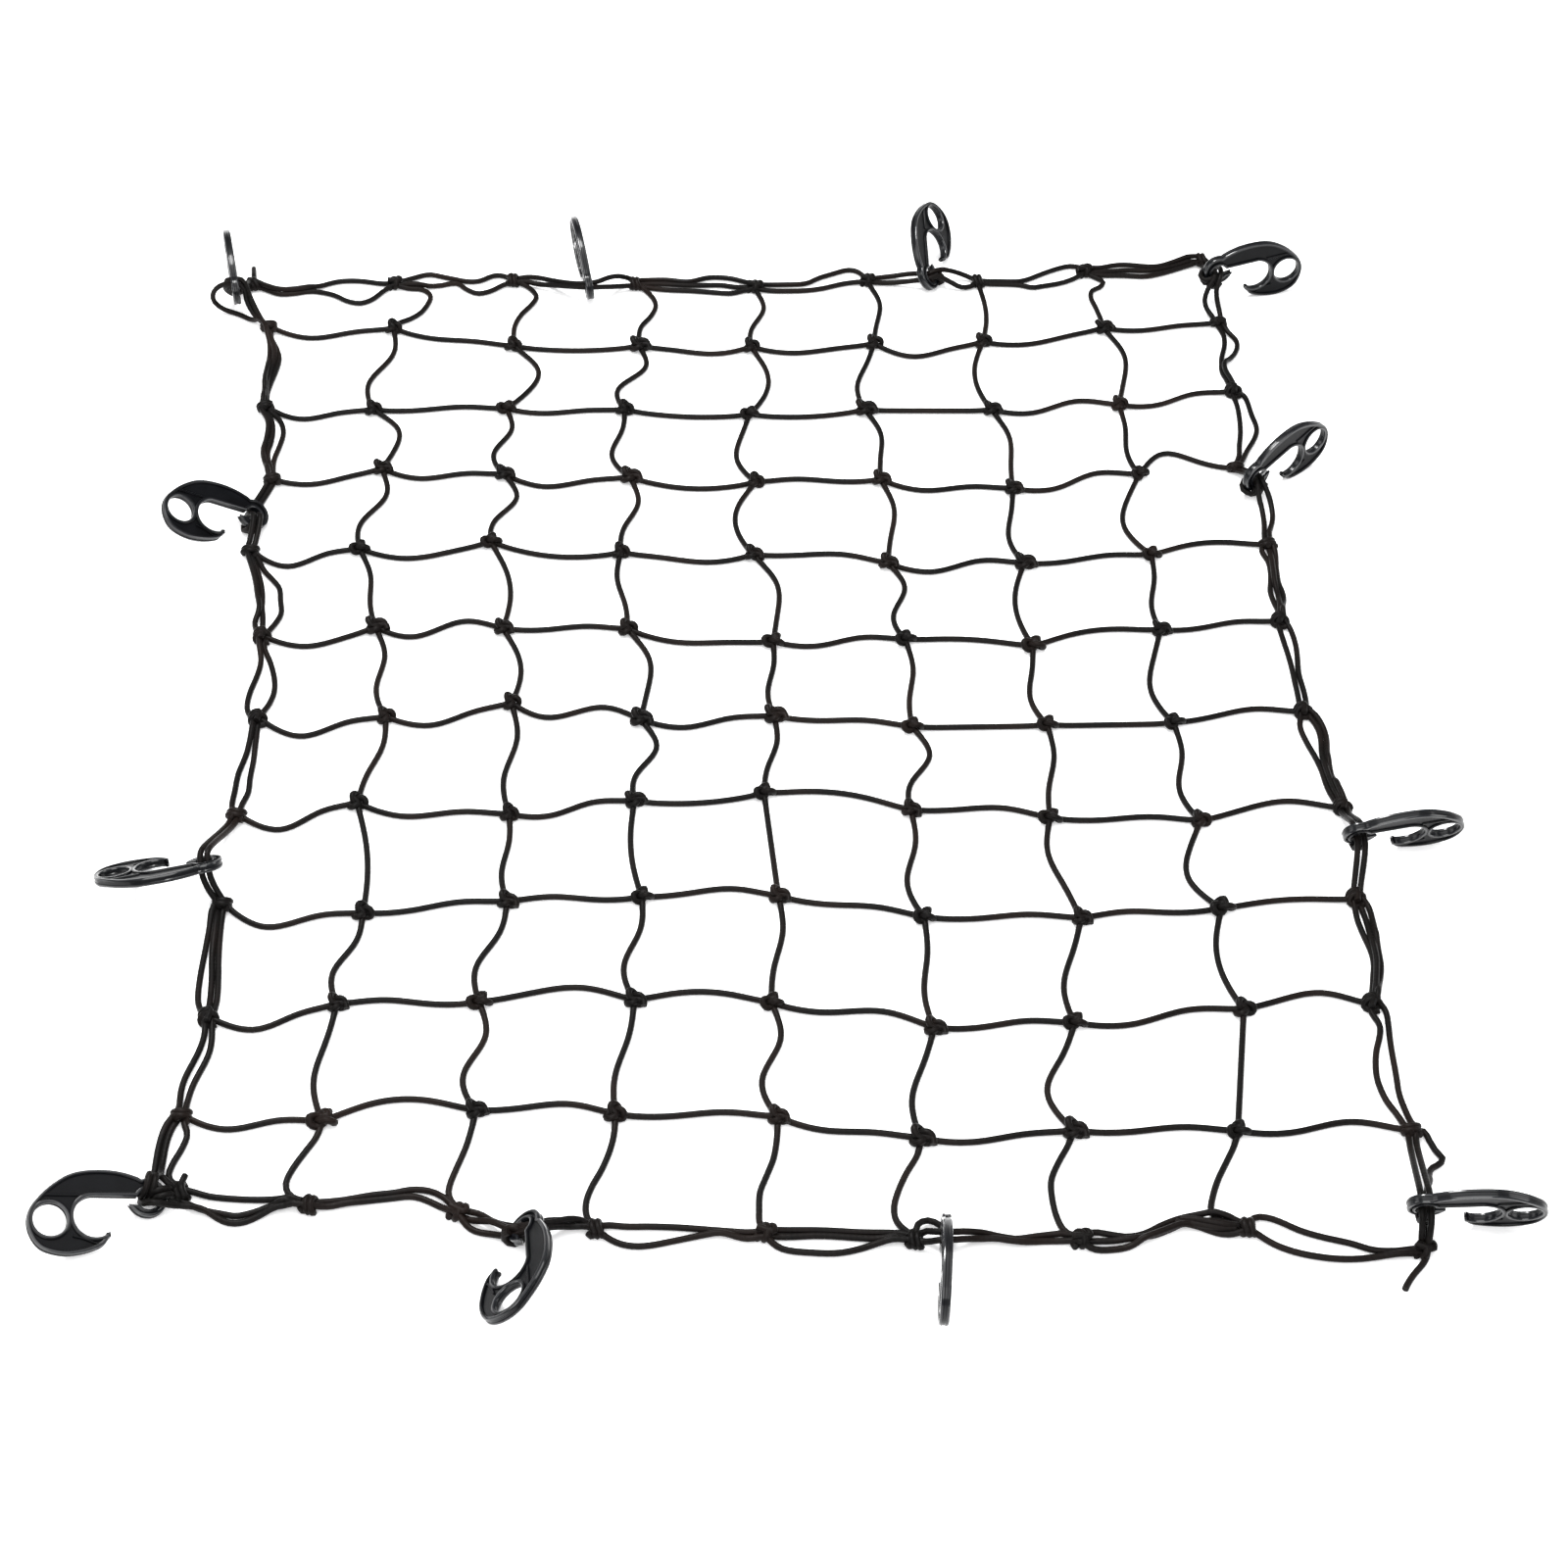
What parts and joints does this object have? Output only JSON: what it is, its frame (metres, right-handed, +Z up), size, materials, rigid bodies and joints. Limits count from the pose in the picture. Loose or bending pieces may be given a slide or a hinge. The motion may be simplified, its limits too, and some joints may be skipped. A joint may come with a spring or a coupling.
{
  "type": "cargo net",
  "caption": "Knotted elastic cord cargo net with a separate border cord and moulded plastic hooks round its edge, lying loose and flat, for holding luggage down",
  "frame": {"origin": "centre of the bounding box, on the floor the net lies on", "axes": "+Y runs along the net's length to the edge farthest from the camera, +X to the right, +Z up from the floor"},
  "size_m": [1.091, 1.3694, 0.06],
  "materials": {
    "cord": "matt woven sheath over rubber",
    "hook": "satin moulded plastic"
  },
  "bodies": {
    "root": {"net_mesh": "cord", "border_cord": "cord", "hook_01": "hook", "hook_02": "hook", "hook_03": "hook", "hook_04": "hook", "hook_05": "hook", "hook_06": "hook", "hook_07": "hook", "hook_08": "hook", "hook_09": "hook", "hook_10": "hook", "hook_11": "hook", "hook_12": "hook"}
  },
  "joints": []
}
